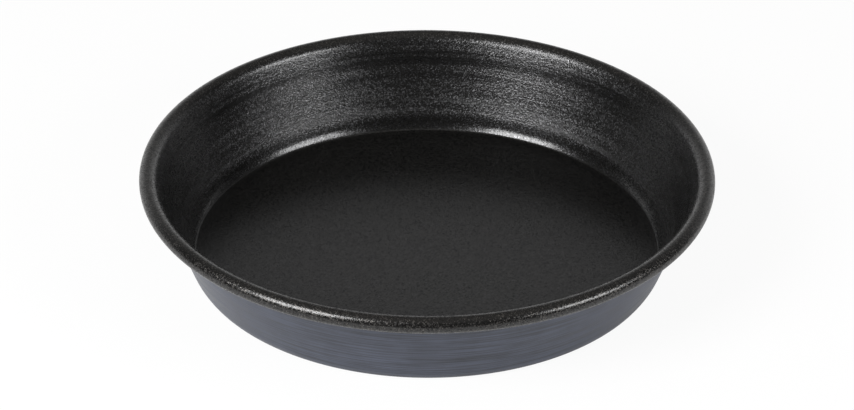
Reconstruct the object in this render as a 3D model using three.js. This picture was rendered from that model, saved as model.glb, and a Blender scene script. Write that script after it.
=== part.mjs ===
// A round pie pan: a flared pan spun from one aluminium sheet, its edge rolled outwards over a
// steel wire, with a black non-stick lining on the inside and over the rolled rim.
// Millimetres, +Z up. The origin is the centre of the flat foot, on the surface that the pan stands on.
import * as THREE from "three";

const { degToRad } = THREE.MathUtils;

// Driving dimensions of the pan
const rimDiameter = 240; // over the rolled rim, bare metal
const panHeight = 40.9; // ground to the top of the rolled rim, bare metal
const wallLean = 20.7; // degrees, outwards from upright
const sheetThickness = 1;

// Driving dimensions of the inside's curves, from the floor up to the rim
const cornerRadius = 1.2; // between the floor and the heel
const heelRadius = 12; // where the wall turns in towards the corner
const heelTurn = 15; // degrees
const neckRadius = 5.5; // where the wall turns out towards the rim
const neckTurn = 44; // degrees

// Driving dimensions of the rolled rim
const wireDiameter = 4;
const wireClearance = 0.4; // between the wire and the sheet rolled over it
const wireButtGap = 1.6; // between the two cut ends of the wire ring
const seamGap = 0.4; // between the edge of the sheet and the outside of the neck

// Driving dimensions of the lining
const liningThickness = 0.08;
const liningBond = 0.02; // between the metal and the film
const liningEndAngle = -84; // degrees round the rim's section, 0 outwards and 90 up

// Facets: how finely the round shapes are cut
const turnFacets = 72;
const sectionStep = degToRad(24); // the largest turn of one facet in a section
const wireSides = 8;

function polar(radius, angle) {
  return new THREE.Vector2(radius * Math.cos(angle), radius * Math.sin(angle));
}

// The rim's section is a circle of sheet round the wire
const hollowRadius = wireDiameter / 2 + wireClearance;
const rimRadius = hollowRadius + sheetThickness;
const rimCentre = new THREE.Vector2(rimDiameter / 2 - rimRadius, panHeight - rimRadius);

// Directions in the section, in radians, 0 outwards and a quarter turn up
const lean = degToRad(wallLean);
const wallFacing = Math.PI - lean; // the way that the wall's inside faces
const rimStart = wallFacing - degToRad(neckTurn); // where the neck runs into the rim
const rimTop = Math.PI / 2;
const rimOutermost = 0;
const liningEnd = degToRad(liningEndAngle);
const heelEnd = lean + degToRad(heelTurn); // how far below outwards the heel runs into the corner

// The neck's arc touches the rim's circle where the rim starts, from within
const neckToRim = neckRadius - rimRadius;
const neckCentre = rimCentre.clone().sub(polar(neckToRim, rimStart));

// The heel's arc touches the wall, and the corner's arc touches the heel and the floor. Their centres
// lie inside the pan.
const cornerHeight = sheetThickness + cornerRadius;
const heelToCorner = polar(heelRadius - cornerRadius, -heelEnd);
const heelHeight = cornerHeight - heelToCorner.y;
const heelReach =
  (neckRadius + heelRadius) / Math.cos(lean) + (neckCentre.y - heelHeight) * Math.tan(lean);
const heelCentre = new THREE.Vector2(neckCentre.x - heelReach, heelHeight);
const cornerCentre = heelCentre.clone().add(heelToCorner);

// The sheet is rolled round until its outer edge is one seam gap from the outside of the neck
const edgeToNeckCentre = neckRadius - sheetThickness - seamGap;
const edgeTurn = Math.acos(
  (edgeToNeckCentre ** 2 - neckToRim ** 2 - rimRadius ** 2) / (2 * neckToRim * rimRadius),
);
const sheetEnd = rimStart + edgeTurn - 2 * Math.PI;

// Points round a centre, from the first of some angles through each of the others
function arc(centre, radius, angles) {
  const points = [polar(radius, angles[0]).add(centre)];
  for (let leg = 1; leg < angles.length; leg++) {
    const turn = angles[leg] - angles[leg - 1];
    const facets = Math.ceil(Math.abs(turn) / sectionStep);
    for (let step = 1; step <= facets; step++) {
      points.push(polar(radius, angles[leg - 1] + (turn * step) / facets).add(centre));
    }
  }
  return points;
}

// The inside of the pan as (radius, height) points from the axis to the rim, moved off the bare
// metal by an offset: positive into the pan, and minus the sheet's thickness for its outside.
// It runs on to where the lining ends, or to the edge of the sheet.
function panSurface(offset, toSheetEdge) {
  const floorCentre = new THREE.Vector2(0, sheetThickness + offset);
  const corner = arc(cornerCentre, cornerRadius - offset, [-Math.PI / 2, -heelEnd]);
  const heel = arc(heelCentre, heelRadius - offset, [-heelEnd, -lean]);
  const neck = arc(neckCentre, neckRadius + offset, [wallFacing, rimStart]);
  const coatedRim = [rimStart, rimTop, rimOutermost, liningEnd];
  const wholeRim = [...coatedRim, sheetEnd];
  const rim = arc(rimCentre, rimRadius + offset, toSheetEdge ? wholeRim : coatedRim);
  // The heel starts at the corner's last point, and the rim at the neck's
  return [floorCentre, ...corner, ...heel.slice(1), ...neck, ...rim.slice(1)];
}

// A layer of the pan between two offsets, turned about the axis, with the axis upright
function turnedLayer(underOffset, topOffset, toSheetEdge) {
  const profile = [
    ...panSurface(underOffset, toSheetEdge),
    ...panSurface(topOffset, toSheetEdge).reverse(),
  ];
  return new THREE.LatheGeometry(profile, turnFacets).rotateX(Math.PI / 2);
}

// The wire ring's centre line: a turn of the rim, less the gap between the wire's ends
class WireLine extends THREE.Curve {
  getPoint(share, target = new THREE.Vector3()) {
    const gapAngle = wireButtGap / rimCentre.x;
    const angle = gapAngle / 2 + share * (2 * Math.PI - gapAngle);
    return target.set(
      rimCentre.x * Math.cos(angle),
      rimCentre.x * Math.sin(angle),
      0,
    );
  }
}

function wireRing() {
  const section = new THREE.Shape();
  section.absarc(0, 0, wireDiameter / 2, 0, 2 * Math.PI);
  return new THREE.ExtrudeGeometry(section, {
    extrudePath: new WireLine(),
    steps: turnFacets,
    curveSegments: wireSides / 2, // a circle is cut into twice as many
  });
}

const anodisedAluminium = new THREE.MeshStandardMaterial({
  color: 0x55585f,
  roughness: 0.5,
  metalness: 0.6,
});
const blackNonStick = new THREE.MeshStandardMaterial({
  color: 0x1a1a1a,
  roughness: 0.35,
  metalness: 0,
});
const zincedSteel = new THREE.MeshStandardMaterial({
  color: 0xa8abad,
  roughness: 0.4,
  metalness: 1,
});

function piece(name, geometry, material) {
  const mesh = new THREE.Mesh(geometry, material);
  mesh.name = name;
  return mesh;
}

const panShell = piece("pan_shell", turnedLayer(-sheetThickness, 0, true), anodisedAluminium);
const lining = piece(
  "nonstick_lining",
  turnedLayer(liningBond, liningBond + liningThickness, false),
  blackNonStick,
);
const rimWire = piece("rim_wire", wireRing(), zincedSteel);
rimWire.position.z = rimCentre.y;

const piePan = new THREE.Group();
piePan.name = "pie_pan";
piePan.add(panShell, lining, rimWire);

export default piePan;
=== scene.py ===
"""A pie pan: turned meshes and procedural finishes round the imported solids, in a plain studio."""
import math

import bmesh
import bpy
from mathutils import Matrix, Vector


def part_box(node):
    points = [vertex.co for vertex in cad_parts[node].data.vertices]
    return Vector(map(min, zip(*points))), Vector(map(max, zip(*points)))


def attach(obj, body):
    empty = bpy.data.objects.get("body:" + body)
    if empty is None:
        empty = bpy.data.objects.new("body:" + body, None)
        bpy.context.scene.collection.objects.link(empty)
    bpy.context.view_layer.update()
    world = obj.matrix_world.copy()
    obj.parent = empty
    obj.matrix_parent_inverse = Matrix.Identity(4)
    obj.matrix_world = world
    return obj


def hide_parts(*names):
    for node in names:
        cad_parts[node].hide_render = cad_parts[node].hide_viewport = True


bl_info = {
    "name": "Pie pan",
    "version": (1, 0, 0),
    "blender": (4, 5, 0),
    "location": "3D View > Sidebar > Pie Pan",
    "description": "Turns a pie pan with a rolled edge, gives it its finishes and sets a plain studio",
    "category": "Add Mesh",
}

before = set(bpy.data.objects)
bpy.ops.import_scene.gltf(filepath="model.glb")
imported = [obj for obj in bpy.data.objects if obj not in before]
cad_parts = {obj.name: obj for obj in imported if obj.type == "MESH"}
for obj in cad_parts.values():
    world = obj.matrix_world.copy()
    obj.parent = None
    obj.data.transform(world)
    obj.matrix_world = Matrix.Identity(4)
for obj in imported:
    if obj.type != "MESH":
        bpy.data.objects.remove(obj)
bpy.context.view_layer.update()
BODY = "root"

SHELL_LOW, SHELL_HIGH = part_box("pan_shell")
WIRE_LOW, WIRE_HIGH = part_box("rim_wire")
PHOTO_WIDTH = 854
PHOTO_FOCAL = 3686.3  # pixels
SENSOR_WIDTH = 36.0  # millimetres
NEAREST_SEEN = 0.05  # from the camera


# Sizes and colours that a user would change


class PanSizes(bpy.types.PropertyGroup):
    """Sizes of the pan's pieces"""

    rim_diameter: bpy.props.FloatProperty(
        name="Rim diameter",
        description="Over the rolled rim, bare metal",
        default=SHELL_HIGH.x - SHELL_LOW.x,
        unit="LENGTH",
    )
    height: bpy.props.FloatProperty(
        name="Height",
        description="From the ground to the top of the rolled rim, bare metal",
        default=SHELL_HIGH.z,
        unit="LENGTH",
    )
    wall_lean: bpy.props.FloatProperty(
        name="Wall lean",
        description="How far the wall leans outwards from upright",
        default=math.radians(20.7),
        unit="ROTATION",
    )
    sheet_thickness: bpy.props.FloatProperty(
        name="Sheet thickness",
        description="Thickness of the aluminium sheet",
        default=0.001,
        unit="LENGTH",
    )
    corner_radius: bpy.props.FloatProperty(
        name="Corner radius",
        description="Inside, between the floor and the heel",
        default=0.0012,
        unit="LENGTH",
    )
    heel_radius: bpy.props.FloatProperty(
        name="Heel radius",
        description="Inside, where the wall turns in towards the corner",
        default=0.012,
        unit="LENGTH",
    )
    heel_turn: bpy.props.FloatProperty(
        name="Heel turn",
        description="How far the heel turns",
        default=math.radians(15),
        unit="ROTATION",
    )
    neck_radius: bpy.props.FloatProperty(
        name="Neck radius",
        description="Inside, where the wall turns out towards the rim",
        default=0.0055,
        unit="LENGTH",
    )
    neck_turn: bpy.props.FloatProperty(
        name="Neck turn",
        description="How far the neck turns",
        default=math.radians(44),
        unit="ROTATION",
    )
    wire_diameter: bpy.props.FloatProperty(
        name="Wire diameter",
        description="Diameter of the wire in the rolled rim",
        default=WIRE_HIGH.z - WIRE_LOW.z,
        unit="LENGTH",
    )
    wire_clearance: bpy.props.FloatProperty(
        name="Wire clearance",
        description="Between the wire and the sheet rolled over it",
        default=0.0004,
        unit="LENGTH",
    )
    wire_butt_gap: bpy.props.FloatProperty(
        name="Wire butt gap",
        description="Between the two cut ends of the wire ring",
        default=0.0016,
        unit="LENGTH",
    )
    seam_gap: bpy.props.FloatProperty(
        name="Seam gap",
        description="Between the edge of the sheet and the outside of the neck",
        default=0.0004,
        unit="LENGTH",
    )
    lining_bond: bpy.props.FloatProperty(
        name="Lining bond",
        description="Between the metal and the film",
        default=0.00002,
        unit="LENGTH",
        precision=5,
    )
    lining_thickness: bpy.props.FloatProperty(
        name="Lining thickness",
        description="Thickness of the film",
        default=0.00008,
        unit="LENGTH",
        precision=5,
    )
    lining_end: bpy.props.FloatProperty(
        name="Lining end",
        description="Where the film stops round the rim's section, from outermost, up positive",
        default=math.radians(-84),
        unit="ROTATION",
    )


class PanFinishes(bpy.types.PropertyGroup):
    """Colours of the pan's finishes"""

    lining_colour: bpy.props.FloatVectorProperty(
        name="Lining",
        description="The black non-stick coat",
        default=(0.0064, 0.0062, 0.0058),
        subtype="COLOR",
        min=0,
        max=1,
    )
    mica_colour: bpy.props.FloatVectorProperty(
        name="Mica",
        description="The brightest of the mica flakes in the coat",
        default=(0.14, 0.14, 0.144),
        subtype="COLOR",
        min=0,
        max=1,
    )
    rim_mica_colour: bpy.props.FloatVectorProperty(
        name="Mica on the rim",
        description="The brightest of the mica flakes where the coat thins over the rim",
        default=(0.17, 0.161, 0.152),
        subtype="COLOR",
        min=0,
        max=1,
    )
    shell_colour: bpy.props.FloatVectorProperty(
        name="Anodised shell",
        description="The slate grey oxide on the outside",
        default=(0.0455, 0.0522, 0.0745),
        subtype="COLOR",
        min=0,
        max=1,
    )
    wire_colour: bpy.props.FloatVectorProperty(
        name="Zinc",
        description="The zinc plate on the wire",
        default=(0.56, 0.57, 0.58),
        subtype="COLOR",
        min=0,
        max=1,
    )


class StudioSettings(bpy.types.PropertyGroup):
    """Floor, lights and camera"""

    floor_colour: bpy.props.FloatVectorProperty(
        name="Floor",
        description="The plain pale floor",
        default=(0.92, 0.92, 0.92),
        subtype="COLOR",
        min=0,
        max=1,
    )
    # The floor further out as metal and glass see it: painted shade round the painted pool of light. The
    # camera still sees it white.
    reflected_shade_colour: bpy.props.FloatVectorProperty(
        name="Surround",
        description="The floor further out",
        default=(0.15, 0.15, 0.15),
        subtype="COLOR",
        min=0,
        max=1,
    )
    camera_distance: bpy.props.FloatProperty(
        name="Camera distance",
        description="From the centre of the pan's foot",
        default=1.5597,
        unit="LENGTH",
    )
    camera_elevation: bpy.props.FloatProperty(
        name="Camera elevation",
        description="Above the floor, seen from the centre of the pan's foot",
        default=math.radians(31.98),
        unit="ROTATION",
    )
    camera_roll: bpy.props.FloatProperty(
        name="Camera roll",
        description="How far the camera's right side is lifted",
        default=math.radians(0.267),
        unit="ROTATION",
    )
    camera_aim: bpy.props.FloatProperty(
        name="Camera aim",
        description="Height on the pan's axis that the camera looks at",
        default=0.0214,
        unit="LENGTH",
    )


# The pan's section


def point_round(centre, radius, angle):
    """A point of the section, at an angle up from outwards"""
    return centre + Vector((radius * math.cos(angle), 0, radius * math.sin(angle)))


class PanSection:
    """Where the arcs and lines of the pan's section lie, as points (radius, 0, height)"""

    def __init__(self, sizes):
        self.sheet = sizes.sheet_thickness
        self.corner_radius = sizes.corner_radius
        self.heel_radius = sizes.heel_radius
        self.neck_radius = sizes.neck_radius
        hollow_radius = sizes.wire_diameter / 2 + sizes.wire_clearance
        self.rim_radius = hollow_radius + self.sheet
        rim_reach = sizes.rim_diameter / 2 - self.rim_radius
        self.rim_centre = Vector((rim_reach, 0, sizes.height - self.rim_radius))
        self.lean = sizes.wall_lean
        self.wall_facing = math.pi - self.lean
        self.rim_start = self.wall_facing - sizes.neck_turn
        self.heel_end = self.lean + sizes.heel_turn
        self.lining_end = sizes.lining_end
        self.place_neck()
        self.place_heel()
        self.place_edge(sizes.seam_gap)

    def place_neck(self):
        self.neck_to_rim = self.neck_radius - self.rim_radius
        self.neck_centre = point_round(self.rim_centre, -self.neck_to_rim, self.rim_start)

    def place_heel(self):
        heel_to_corner = point_round(Vector(), self.heel_radius - self.corner_radius, -self.heel_end)
        height = self.sheet + self.corner_radius - heel_to_corner.z
        reach = (self.neck_radius + self.heel_radius) / math.cos(self.lean)
        reach += (self.neck_centre.z - height) * math.tan(self.lean)
        self.heel_centre = Vector((self.neck_centre.x - reach, 0, height))
        self.corner_centre = self.heel_centre + heel_to_corner

    def place_edge(self, seam_gap):
        edge_to_neck = self.neck_radius - self.sheet - seam_gap
        apart = edge_to_neck**2 - self.neck_to_rim**2 - self.rim_radius**2
        edge_turn = math.acos(apart / (2 * self.neck_to_rim * self.rim_radius))
        self.sheet_end = self.rim_start + edge_turn - 2 * math.pi


# Meshes drawn by spinning points and lines

TURN_STEPS = 360
CORNER_STEPS = 10
HEEL_STEPS = 8
NECK_STEPS = 8
ROLL_STEPS = 44
HOLDING_GAP = 0.0012  # from an arc's end to the holding ring beside it
MERGE_DISTANCE = 1e-6
SHARP_ANGLE = math.radians(35)
OUT_OF_SECTION = Vector((0, -1, 0))  # a turn about this axis runs anticlockwise in the section
UP = Vector((0, 0, 1))


def draw_line(bm, start, *stops):
    """Draws straight from a vertex through each stop, and gives the last vertex"""
    for stop in stops:
        start = bmesh.ops.extrude_vert_indiv(bm, verts=[start])["verts"][0]
        start.co = stop
    return start


def draw_arc(bm, start, centre, angle, steps):
    """Swings a vertex round a centre in the section, and gives the last vertex"""
    swept = bmesh.ops.spin(
        bm, geom=[start], cent=centre, axis=OUT_OF_SECTION, angle=angle, steps=steps
    )
    return swept["geom_last"][0]


def draw_surface(bm, section, offset, end_angle):
    """Draws the inside of the pan from the axis round the rim, moved off the bare metal by an offset"""
    heel_radius = section.heel_radius - offset
    neck_radius = section.neck_radius + offset
    floor = Vector((0, 0, section.sheet + offset))
    corner_foot = floor + Vector((section.corner_centre.x, 0, 0))
    wall_foot = point_round(section.heel_centre, heel_radius, -section.lean)
    wall_top = point_round(section.neck_centre, neck_radius, section.wall_facing)
    up_the_wall = (wall_top - wall_foot).normalized()
    inwards = Vector((-HOLDING_GAP, 0, 0))
    point = bm.verts.new(floor)
    point = draw_line(bm, point, corner_foot + inwards, corner_foot)
    corner_turn = math.pi / 2 - section.heel_end
    point = draw_arc(bm, point, section.corner_centre, corner_turn, CORNER_STEPS)
    point = draw_arc(bm, point, section.heel_centre, section.heel_end - section.lean, HEEL_STEPS)
    point = draw_line(
        bm,
        point,
        wall_foot + HOLDING_GAP * up_the_wall,
        wall_top - HOLDING_GAP * up_the_wall,
        wall_top,
    )
    neck_turn = section.rim_start - section.wall_facing
    point = draw_arc(bm, point, section.neck_centre, neck_turn, NECK_STEPS)
    return draw_arc(bm, point, section.rim_centre, end_angle - section.rim_start, ROLL_STEPS)


def turn_round(bm):
    """Spins all that is drawn about the pan's axis and closes its poles"""
    outline = bm.verts[:] + bm.edges[:]
    bmesh.ops.spin(
        bm, geom=outline, cent=(0, 0, 0), axis=UP, angle=2 * math.pi, steps=TURN_STEPS, use_merge=True
    )
    bmesh.ops.remove_doubles(bm, verts=bm.verts[:], dist=MERGE_DISTANCE)
    bmesh.ops.recalc_face_normals(bm, faces=bm.faces[:])


def draw_layer(bm, section, under_offset, top_offset, end_angle):
    """A layer of the pan between two offsets, closed at its edge"""
    under_edge = draw_surface(bm, section, under_offset, end_angle)
    top_edge = draw_surface(bm, section, top_offset, end_angle)
    bm.edges.new((under_edge, top_edge))
    turn_round(bm)


def finish_piece(context, bm, name, material, node):
    """Makes an object of a bmesh that stands for a node of the frame"""
    mesh = bpy.data.meshes.new(name)
    bm.to_mesh(mesh)
    bm.free()
    mesh.shade_smooth()
    mesh.set_sharp_from_angle(angle=SHARP_ANGLE)
    mesh.materials.append(material)
    piece = bpy.data.objects.new(name, mesh)
    context.scene.collection.objects.link(piece)
    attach(piece, BODY)
    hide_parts(node)


# Shader maths

# Places of a Mix node's colour sockets, which share their names with others
MIX_FIRST = 6
MIX_SECOND = 7
MIX_RESULT = 2

# How hard a noise is cut into dark and light, as the values that become 0 and 1
CRISP = (0.4, 0.6)
SOFT = (0.3, 0.7)
MIDDLE_OF_NOISE = 0.5


class Value:
    """A number that a node gives, with Python's operators"""

    def __init__(self, sheet, socket):
        self.sheet = sheet
        self.socket = socket

    def maths(self, operation, *numbers):
        sockets = dict(enumerate(numbers))
        return self.sheet.node("ShaderNodeMath", {"operation": operation}, sockets)["Value"]

    def __add__(self, other):
        return self.maths("ADD", self, other)

    def __radd__(self, other):
        return self.maths("ADD", other, self)

    def __sub__(self, other):
        return self.maths("SUBTRACT", self, other)

    def __rsub__(self, other):
        return self.maths("SUBTRACT", other, self)

    def __mul__(self, other):
        return self.maths("MULTIPLY", self, other)

    def __rmul__(self, other):
        return self.maths("MULTIPLY", other, self)

    def __truediv__(self, other):
        return self.maths("DIVIDE", self, other)

    def __pow__(self, other):
        return self.maths("POWER", self, other)

    def rising(self, low, high):
        """0 below low, 1 above high, and smooth between"""
        return self.sheet.node(
            "ShaderNodeMapRange",
            {"interpolation_type": "SMOOTHSTEP"},
            {"Value": self, "From Min": low, "From Max": high},
        )["Result"]

    def within(self, low, high, edge):
        """1 from low to high, falling to 0 over an edge outside"""
        return self.rising(low - edge, low) * (1 - self.rising(high, high + edge))


class Outputs:
    """A node's outputs by name"""

    def __init__(self, sheet, node):
        self.sheet = sheet
        self.bpy_node = node

    def __getitem__(self, name):
        return Value(self.sheet, self.bpy_node.outputs[name])


class NodeSheet:
    """An emptied node tree, which expressions on its values fill"""

    def __init__(self, tree):
        self.tree = tree
        tree.nodes.clear()

    def node(self, kind, settings=None, sockets=None):
        made = self.tree.nodes.new(kind)
        for name, setting in (settings or {}).items():
            setattr(made, name, setting)
        for name, given in (sockets or {}).items():
            if isinstance(given, Value):
                self.tree.links.new(given.socket, made.inputs[name])
            else:
                made.inputs[name].default_value = given
        return Outputs(self, made)

    def mixed(self, share, first, second):
        """A colour between two colours"""
        made = self.node("ShaderNodeMix", {"data_type": "RGBA"}, {"Factor": share})
        for place, given in ((MIX_FIRST, first), (MIX_SECOND, second)):
            socket = made.bpy_node.inputs[place]
            if isinstance(given, Value):
                self.tree.links.new(given.socket, socket)
            else:
                socket.default_value = opaque(given)
        return Value(self, made.bpy_node.outputs[MIX_RESULT])

    def noise(self, vector, scale, detail, roughness):
        return self.node(
            "ShaderNodeTexNoise",
            None,
            {"Vector": vector, "Scale": scale, "Detail": detail, "Roughness": roughness},
        )["Fac"]


def opaque(colour):
    return (*colour[:3], 1.0)


def scaled(colour, factor):
    return tuple(channel * factor for channel in colour[:3])


class Finish(NodeSheet):
    """A surface material on Object coordinates, with the radius from the pan's axis and the height"""

    def __init__(self, name):
        self.material = bpy.data.materials.new(name)
        self.material.use_nodes = True
        super().__init__(self.material.node_tree)
        self.place = self.node("ShaderNodeTexCoord")["Object"]
        parts = self.node("ShaderNodeSeparateXYZ", None, {0: self.place})
        self.x, self.y, self.height = parts["X"], parts["Y"], parts["Z"]
        self.radius = (self.x * self.x + self.y * self.y) ** 0.5

    def turned_lines(self, turn, across, detail, roughness):
        """Noise drawn out round the axis, from its changes to a radian and its place across the lines"""
        sockets = {
            "X": self.x / self.radius * turn,
            "Y": self.y / self.radius * turn,
            "Z": across,
        }
        place = self.node("ShaderNodeCombineXYZ", None, sockets)["Vector"]
        return self.noise(place, 1.0, detail, roughness)

    def bump(self, height):
        """A normal from a height in metres"""
        sockets = {"Height": height, "Strength": 1.0, "Distance": 1.0}
        return self.node("ShaderNodeBump", None, sockets)["Normal"]

    def principled(self, settings):
        return self.node("ShaderNodeBsdfPrincipled", None, settings)["BSDF"]

    def surface(self, shader):
        """The finished material"""
        self.node("ShaderNodeOutputMaterial", None, {"Surface": shader})
        return self.material


# The lining's finish

# Places on the lining, in metres from the axis and from the ground
RIM_RADII = (0.1125, 0.1155)  # where the wall gives way to the rim
FLOOR_HEIGHTS = (0.0013, 0.0022)  # where the flat floor gives way to the corner
WALL_HEIGHTS = (0.0084, 0.0384)  # the rough coat of the wall
WALL_FADE = 0.0044
RING_HEIGHTS = (0.0290, 0.0338)  # a smoother ring high on the wall
RING_FADE = 0.0008

# Shallow waves of the spun wall: the heights of each one's foot, crest and top, and its depth
FOOT_WAVE = (0.0042, 0.0075, 0.0130)
FOOT_WAVE_DEPTH = 0.0001
RING_WAVE = (0.0280, 0.0335, 0.0390)
RING_WAVE_DEPTH = 0.00005

# Lines of the spinning that show through the coat, with their widths and their changes to a radian
STREAK_WIDTH = 0.0028
STREAK_TURN = 1.2
RING_LINE_WIDTH = 0.0011
RING_LINE_TURN = 0.7
RIPPLE_WIDTH = 0.0009
RIPPLE_TURN = 1.5
RIPPLE_DEPTH = 0.00005

# The wall's roughening: even and streaked parts, its fall with height, and the ring's smoothing
EVEN_PART = 0.35
STREAKED_PART = 1.2
FOOT_PART = 1.5
FALL_WITH_HEIGHT = 0.6
FALL_HEIGHTS = (0.0080, 0.0300)
RING_SMOOTHING = 0.7
RING_LINES_PART = 0.6

# Orange-peel grain of the sprayed coat: its width, and its depth everywhere and added in places
PEEL_WIDTH = 0.0007
PEEL_DEPTH = 0.00003
WALL_PEEL = 0.00009
RIM_PEEL = 0.00003
FLOOR_PEEL = 0.00002

# Mica flakes in the coat
FLAKE_SIZE = 0.00042
FLAKE_SHARE = 0.42
FLAKE_EDGE = 0.01
DARKEST_FLAKE = 0.2  # of the mica's colour
FLAKE_TONE = 0.8  # how far the flakes reach towards the brightest
WALL_TONE = 0.5  # and how much further where the wall is roughened

# Roughness of the coat, and what the flakes add to it
COAT_ROUGHNESS = 0.17
WALL_ROUGHNESS = 0.06
FLOOR_ROUGHNESS = 0.09
FLAKE_SCATTER = 0.11
WALL_SCATTER = 0.05
RIM_SCATTER = 0.15
SMOOTHED_SCATTER = 0.5
COAT_IOR = 1.55


class LiningZones:
    """Where the parts of the lining lie, as shares from 0 to 1, and how far the wall is roughened"""

    def __init__(self, paint):
        self.rim = paint.radius.rising(*RIM_RADII)
        self.floor = 1 - paint.height.rising(*FLOOR_HEIGHTS)
        self.wall = paint.height.within(*WALL_HEIGHTS, WALL_FADE) * (1 - self.rim)
        across_ring = paint.height / RING_LINE_WIDTH
        ring_lines = paint.turned_lines(RING_LINE_TURN, across_ring, detail=1.0, roughness=0.5)
        ring = paint.height.within(*RING_HEIGHTS, RING_FADE)
        self.smoothed = ring * (1 - RING_LINES_PART * ring_lines.rising(*CRISP))
        across_wall = paint.height / STREAK_WIDTH
        streaks = paint.turned_lines(STREAK_TURN, across_wall, detail=4.0, roughness=0.6)
        by_height = FOOT_PART - FALL_WITH_HEIGHT * paint.height.rising(*FALL_HEIGHTS)
        by_streak = EVEN_PART + STREAKED_PART * streaks.rising(*SOFT)
        self.roughened = self.wall * by_height * by_streak * (1 - RING_SMOOTHING * self.smoothed)


def wall_wave(paint, heights, depth):
    """A shallow wave of the wall, as a height off it"""
    foot, crest, top = heights
    return depth * (paint.height.rising(foot, crest) - paint.height.rising(crest, top))


def coat_relief(paint, zones):
    """The coat's grain over the wall's ripples and waves, as a height in metres"""
    peel = paint.noise(paint.place, 1 / PEEL_WIDTH, detail=1.0, roughness=0.5) - MIDDLE_OF_NOISE
    depth = PEEL_DEPTH + WALL_PEEL * zones.roughened + RIM_PEEL * zones.rim + FLOOR_PEEL * zones.floor
    across_wall = paint.height / RIPPLE_WIDTH
    ripple = paint.turned_lines(RIPPLE_TURN, across_wall, detail=2.0, roughness=0.5)
    waves = wall_wave(paint, FOOT_WAVE, FOOT_WAVE_DEPTH)
    waves = waves + wall_wave(paint, RING_WAVE, RING_WAVE_DEPTH)
    return peel * depth + ripple * zones.wall * RIPPLE_DEPTH + waves


def mica_flakes(paint, zones, colours):
    """Where flakes show in the coat, and their colour"""
    cells = paint.node("ShaderNodeTexVoronoi", None, {"Vector": paint.place, "Scale": 1 / FLAKE_SIZE})
    chances = paint.node("ShaderNodeSeparateColor", None, {0: cells["Color"]})
    flake = 1 - chances["Red"].rising(FLAKE_SHARE - FLAKE_EDGE, FLAKE_SHARE + FLAKE_EDGE)
    tone = chances["Green"] * chances["Green"] * (FLAKE_TONE + WALL_TONE * zones.roughened)
    brightest = paint.mixed(zones.rim, colours.mica_colour, colours.rim_mica_colour)
    return flake, paint.mixed(tone, scaled(colours.mica_colour, DARKEST_FLAKE), brightest)


def lining_finish(colours):
    """Sprayed black non-stick with fine mica: rough on the wall, smoother in the corner and a ring"""
    paint = Finish("nonstick_lining")
    zones = LiningZones(paint)
    flake, mica = mica_flakes(paint, zones, colours)
    scatter = FLAKE_SCATTER * (1 - zones.floor) * (1 - SMOOTHED_SCATTER * zones.smoothed)
    scatter = scatter + WALL_SCATTER * zones.roughened + RIM_SCATTER * zones.rim
    roughness = COAT_ROUGHNESS + WALL_ROUGHNESS * zones.roughened + FLOOR_ROUGHNESS * zones.floor
    coat = {
        "Base Color": paint.mixed(flake, colours.lining_colour, mica),
        "Metallic": flake,
        "Roughness": roughness + flake * scatter,
        "IOR": COAT_IOR,
        "Normal": paint.bump(coat_relief(paint, zones)),
    }
    return paint.surface(paint.principled(coat))


# The shell's finish

# Lines of the spinning, with their widths, their changes to a radian and their depth
FINE_LINE_WIDTH = 0.0007
FINE_LINE_TURN = 3.0
BROAD_LINE_WIDTH = 0.004
BROAD_LINE_TURN = 1.5
LINE_DEPTH = 0.000012

# Shades of the oxide: what they are made up of, and the darkest and the palest one of its colour
FINE_LINE_PART = 0.65
BROAD_LINE_PART = 0.15
MOTTLE_PART = 0.2
MOTTLE_SIZE = 0.012
DARK_OXIDE = 0.4
PALE_OXIDE = 1.6

# Roughness of the oxide, and what the fine lines add to it
OXIDE_ROUGHNESS = 0.34
LINE_ROUGHNESS = 0.14


def shell_finish(colours):
    """Hard anodised aluminium: slate grey, satin, with fine lines from the spinning"""
    oxide = Finish("anodised_shell")
    along_section = oxide.radius + oxide.height
    across_fine = along_section / FINE_LINE_WIDTH
    fine_lines = oxide.turned_lines(FINE_LINE_TURN, across_fine, detail=2.0, roughness=0.6)
    fine_lines = fine_lines.rising(*CRISP)
    across_broad = along_section / BROAD_LINE_WIDTH
    broad_lines = oxide.turned_lines(BROAD_LINE_TURN, across_broad, detail=2.0, roughness=0.5)
    broad_lines = broad_lines.rising(*SOFT)
    mottle = oxide.noise(oxide.place, 1 / MOTTLE_SIZE, detail=5.0, roughness=0.65).rising(*SOFT)
    shade = FINE_LINE_PART * fine_lines + BROAD_LINE_PART * broad_lines + MOTTLE_PART * mottle
    dark = scaled(colours.shell_colour, DARK_OXIDE)
    pale = scaled(colours.shell_colour, PALE_OXIDE)
    satin = {
        "Base Color": oxide.mixed(shade, dark, pale),
        "Metallic": 0.3,
        "Specular IOR Level": 0.3,
        "Roughness": OXIDE_ROUGHNESS + LINE_ROUGHNESS * fine_lines,
        "Anisotropic": 0.5,
        "Anisotropic Rotation": 0.25,
        "Coat Weight": 0.25,
        "Coat Roughness": 0.35,
        "Coat IOR": 1.6,
        "Normal": oxide.bump(fine_lines * LINE_DEPTH + broad_lines * LINE_DEPTH),
    }
    return oxide.surface(oxide.principled(satin))


# The wire's finish

# Lines of the drawing: their changes to a radian, how close they lie across the wire, and their depth
DRAWN_LINE_TURN = 6.0
DRAWN_LINE_CLOSENESS = 4.0
DRAWN_LINE_DEPTH = 0.000005
NOT_ZERO = 0.00001  # keeps a division from zero

# Bloom of the zinc plate: its size, the dullest zinc of the wire's colour, and the roughness
BLOOM_SIZE = 0.004
DULL_ZINC = 0.85
ZINC_ROUGHNESS = 0.26
BLOOM_ROUGHNESS = 0.16


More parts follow.
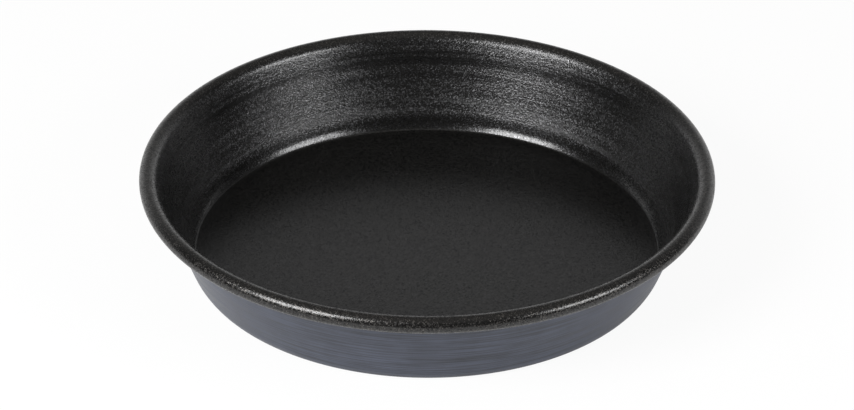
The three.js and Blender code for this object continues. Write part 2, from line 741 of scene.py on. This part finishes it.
def wire_finish(section, colours):
    """Bright zinc plate over drawn wire"""
    zinc = Finish("zinced_wire")
    outwards = zinc.radius - section.rim_centre.x
    upwards = zinc.height - section.rim_centre.z + NOT_ZERO
    across_wire = outwards / upwards * DRAWN_LINE_CLOSENESS
    lines = zinc.turned_lines(DRAWN_LINE_TURN, across_wire, detail=2.0, roughness=0.5)
    bloom = zinc.noise(zinc.place, 1 / BLOOM_SIZE, detail=3.0, roughness=0.6)
    plate = {
        "Base Color": zinc.mixed(bloom, scaled(colours.wire_colour, DULL_ZINC), colours.wire_colour),
        "Metallic": 1.0,
        "Roughness": ZINC_ROUGHNESS + BLOOM_ROUGHNESS * bloom,
        "Normal": zinc.bump(lines * DRAWN_LINE_DEPTH),
    }
    return zinc.surface(zinc.principled(plate))


# Operators, one for each piece and one for the stage


class PIEPAN_OT_shell(bpy.types.Operator):
    """Turns the aluminium shell with its rolled edge"""

    bl_idname = "pie_pan.shell"
    bl_label = "Pan shell"

    def execute(self, context):
        section = PanSection(context.scene.pie_pan_sizes)
        bm = bmesh.new()
        draw_layer(bm, section, -section.sheet, 0, section.sheet_end)
        finish = shell_finish(context.scene.pie_pan_finishes)
        finish_piece(context, bm, "spun_shell", finish, "pan_shell")
        return {"FINISHED"}


class PIEPAN_OT_lining(bpy.types.Operator):
    """Turns the film of non-stick coat over the inside and the rim"""

    bl_idname = "pie_pan.lining"
    bl_label = "Non-stick lining"

    def execute(self, context):
        sizes = context.scene.pie_pan_sizes
        section = PanSection(sizes)
        outer = sizes.lining_bond + sizes.lining_thickness
        bm = bmesh.new()
        draw_layer(bm, section, sizes.lining_bond, outer, section.lining_end)
        finish = lining_finish(context.scene.pie_pan_finishes)
        finish_piece(context, bm, "sprayed_lining", finish, "nonstick_lining")
        return {"FINISHED"}


WIRE_SIDES = 20


class PIEPAN_OT_wire(bpy.types.Operator):
    """Bends the wire ring that the edge is rolled over"""

    bl_idname = "pie_pan.wire"
    bl_label = "Rim wire"

    def execute(self, context):
        sizes = context.scene.pie_pan_sizes
        section = PanSection(sizes)
        gap = sizes.wire_butt_gap / section.rim_centre.x
        place = Matrix.Rotation(gap / 2, 4, "Z") @ Matrix.Translation(section.rim_centre)
        place = place @ Matrix.Rotation(math.pi / 2, 4, "X")
        bm = bmesh.new()
        bmesh.ops.create_circle(
            bm, cap_ends=True, segments=WIRE_SIDES, radius=sizes.wire_diameter / 2, matrix=place
        )
        cut_end = bm.faces[:]
        bmesh.ops.spin(
            bm,
            geom=bm.verts[:] + bm.edges[:] + cut_end,
            cent=(0, 0, 0),
            axis=UP,
            angle=2 * math.pi - gap,
            steps=TURN_STEPS,
        )
        bmesh.ops.holes_fill(bm, edges=[edge for edge in bm.edges if edge.is_boundary], sides=WIRE_SIDES)
        bmesh.ops.recalc_face_normals(bm, faces=bm.faces[:])
        finish = wire_finish(section, context.scene.pie_pan_finishes)
        finish_piece(context, bm, "drawn_wire", finish, "rim_wire")
        return {"FINISHED"}


# The studio

FLOOR_RADIUS = 4.0
FLOOR_SIDES = 64
FLOOR_DROP = 0.00005  # below the pan's foot
# The floor's pale part is a painted pool of light. It is shifted a little to the left, the key softbox's
# side.
LIT_POOL_CENTRE = (-0.03, 0.12, 0)  # of the floor's pale part, on the floor
LIT_POOL_REACH = (0.34, 0.46)  # from that centre, where the pale part fades
SWEEP_START = (0.0, 0.3)  # behind that centre, where the floor stays pale right out
SEEN_WHITE = 0.92  # how far the camera sees the floor as plain white
MIRRORED_WHITE = 0.35  # and how far metal and glass do
WHITE = (1.0, 1.0, 1.0)


def pale_floor(settings):
    """A floor that the camera sees as near white, with the pan's shadow kept; metal and glass see it
    near white only in a painted pool of light, shifted a little to the key softbox's side, and in
    painted shade further out
    """
    material = bpy.data.materials.new("studio_floor")
    material.use_nodes = True
    paint = NodeSheet(material.node_tree)
    path = paint.node("ShaderNodeLightPath")
    mirrored = path["Is Glossy Ray"] + path["Is Transmission Ray"]
    seen = SEEN_WHITE * path["Is Camera Ray"] + MIRRORED_WHITE * mirrored
    ends = {0: paint.node("ShaderNodeTexCoord")["Object"], 1: LIT_POOL_CENTRE}
    from_centre = paint.node("ShaderNodeVectorMath", {"operation": "SUBTRACT"}, ends)["Vector"]
    away = paint.node("ShaderNodeVectorMath", {"operation": "LENGTH"}, {0: from_centre})["Value"]
    behind = paint.node("ShaderNodeSeparateXYZ", None, {0: from_centre})["Y"].rising(*SWEEP_START)
    # Beyond the painted pool of light, bounces and reflections see the floor in painted shade. Camera
    # rays never do.
    edge = away.rising(*LIT_POOL_REACH) * (1 - behind) * (1 - path["Is Camera Ray"])
    pale = paint.mixed(edge, settings.floor_colour, settings.reflected_shade_colour)
    bright = paint.mixed(edge, WHITE, settings.reflected_shade_colour)
    matt = paint.node("ShaderNodeBsdfDiffuse", None, {"Color": pale})
    white = paint.node("ShaderNodeEmission", None, {"Color": bright, "Strength": 1.0})
    shares = paint.node("ShaderNodeMixShader", None, {0: seen, 1: matt["BSDF"], 2: white["Emission"]})
    paint.node("ShaderNodeOutputMaterial", None, {"Surface": shares["Shader"]})
    return material


def add_floor(context, settings):
    """The floor that the pan stands on"""
    bm = bmesh.new()
    place = Matrix.Translation((0, 0, -FLOOR_DROP))
    bmesh.ops.create_circle(bm, cap_ends=True, segments=FLOOR_SIDES, radius=FLOOR_RADIUS, matrix=place)
    mesh = bpy.data.meshes.new("studio_floor")
    bm.to_mesh(mesh)
    bm.free()
    mesh.materials.append(pale_floor(settings))
    floor = bpy.data.objects.new("studio_floor", mesh)
    context.scene.collection.objects.link(floor)


# The studio's air: colours, and the parts of a direction between which each one comes in
DARK_AIR = (0.06, 0.06, 0.062)
CEILING_COLOUR = (0.33, 0.32, 0.305)
CEILING_UPWARDS = (0.6, 0.95)
BACKDROP_BACKWARDS = (0.3, 0.8)
BACKDROP_UPWARDS = (0.0, 0.88)  # where it greys away


def add_world(context):
    """A dark studio: a white backdrop behind the pan, which greys upwards, and a soft ceiling"""
    world = bpy.data.worlds.new("studio")
    world.use_nodes = True
    context.scene.world = world
    air = NodeSheet(world.node_tree)
    direction = air.node("ShaderNodeTexCoord")["Generated"]
    parts = air.node("ShaderNodeSeparateXYZ", None, {0: direction})
    backdrop = parts["Y"].rising(*BACKDROP_BACKWARDS) * (1 - parts["Z"].rising(*BACKDROP_UPWARDS))
    colour = air.mixed(parts["Z"].rising(*CEILING_UPWARDS), DARK_AIR, CEILING_COLOUR)
    colour = air.mixed(backdrop, colour, WHITE)
    light = air.node("ShaderNodeBackground", None, {"Color": colour, "Strength": 1.0})
    air.node("ShaderNodeOutputWorld", None, {"Surface": light["Background"]})


LAMP_DISTANCE = 1.3
LEFT_SOFTBOX = {"azimuth": -50, "elevation": 34, "width": 0.70, "height": 0.62, "radiance": 14}
RIGHT_SOFTBOX = {"azimuth": 62, "elevation": 26, "width": 0.70, "height": 0.45, "radiance": 9.5}


def add_lamp(context, name, azimuth, elevation, width, height, radiance):
    """A softbox that faces the pan, its azimuth in degrees from the camera's and its elevation too"""
    azimuth = math.radians(azimuth)
    elevation = math.radians(elevation)
    away = Vector(
        (
            math.sin(azimuth) * math.cos(elevation),
            -math.cos(azimuth) * math.cos(elevation),
            math.sin(elevation),
        )
    )
    lamp = bpy.data.lights.new(name, "AREA")
    lamp.shape = "RECTANGLE"
    lamp.size = width
    lamp.size_y = height
    lamp.energy = radiance * math.pi * width * height
    softbox = bpy.data.objects.new(name, lamp)
    softbox.matrix_world = Matrix.LocRotScale(away * LAMP_DISTANCE, away.to_track_quat("Z", "Y"), None)
    context.scene.collection.objects.link(softbox)


def add_camera(context, settings):
    """The photograph's camera"""
    lens = bpy.data.cameras.new("photo_camera")
    lens.sensor_width = SENSOR_WIDTH
    lens.lens = PHOTO_FOCAL / PHOTO_WIDTH * SENSOR_WIDTH
    lens.clip_start = NEAREST_SEEN
    camera = bpy.data.objects.new("photo_camera", lens)
    elevation = settings.camera_elevation
    away = Vector((0, -math.cos(elevation), math.sin(elevation)))
    position = away * settings.camera_distance
    backwards = position - Vector((0, 0, settings.camera_aim))
    turn = backwards.to_track_quat("Z", "Y").to_matrix().to_4x4()
    roll = Matrix.Rotation(settings.camera_roll, 4, "Z")
    camera.matrix_world = Matrix.Translation(position) @ turn @ roll
    context.scene.collection.objects.link(camera)
    context.scene.camera = camera


class PIEPAN_OT_studio(bpy.types.Operator):
    """Sets the floor, the soft lights and the photograph's camera"""

    bl_idname = "pie_pan.studio"
    bl_label = "Studio"

    def execute(self, context):
        settings = context.scene.pie_pan_studio
        add_floor(context, settings)
        add_world(context)
        add_lamp(context, "left_softbox", **LEFT_SOFTBOX)
        add_lamp(context, "right_softbox", **RIGHT_SOFTBOX)
        add_camera(context, settings)
        context.scene.view_settings.view_transform = "Standard"
        return {"FINISHED"}


class PIEPAN_PT_sidebar(bpy.types.Panel):
    """The pan's sizes, colours and makers"""

    bl_idname = "PIEPAN_PT_sidebar"
    bl_label = "Pie Pan"
    bl_space_type = "VIEW_3D"
    bl_region_type = "UI"
    bl_category = "Pie Pan"

    def draw(self, context):
        for group in (
            context.scene.pie_pan_sizes,
            context.scene.pie_pan_finishes,
            context.scene.pie_pan_studio,
        ):
            box = self.layout.box()
            for name in group.__annotations__:
                box.prop(group, name)
        for operator in OPERATORS:
            self.layout.operator(operator.bl_idname)


GROUPS = (PanSizes, PanFinishes, StudioSettings)
OPERATORS = (PIEPAN_OT_studio, PIEPAN_OT_shell, PIEPAN_OT_lining, PIEPAN_OT_wire)
CLASSES = (*GROUPS, *OPERATORS, PIEPAN_PT_sidebar)


def register():
    for cls in CLASSES:
        bpy.utils.register_class(cls)
    bpy.types.Scene.pie_pan_sizes = bpy.props.PointerProperty(type=PanSizes)
    bpy.types.Scene.pie_pan_finishes = bpy.props.PointerProperty(type=PanFinishes)
    bpy.types.Scene.pie_pan_studio = bpy.props.PointerProperty(type=StudioSettings)


def unregister():
    del bpy.types.Scene.pie_pan_studio
    del bpy.types.Scene.pie_pan_finishes
    del bpy.types.Scene.pie_pan_sizes
    for cls in reversed(CLASSES):
        bpy.utils.unregister_class(cls)


def main():
    register()
    bpy.ops.pie_pan.studio()
    bpy.ops.pie_pan.shell()
    bpy.ops.pie_pan.lining()
    bpy.ops.pie_pan.wire()


if __name__ == "__main__":
    main()
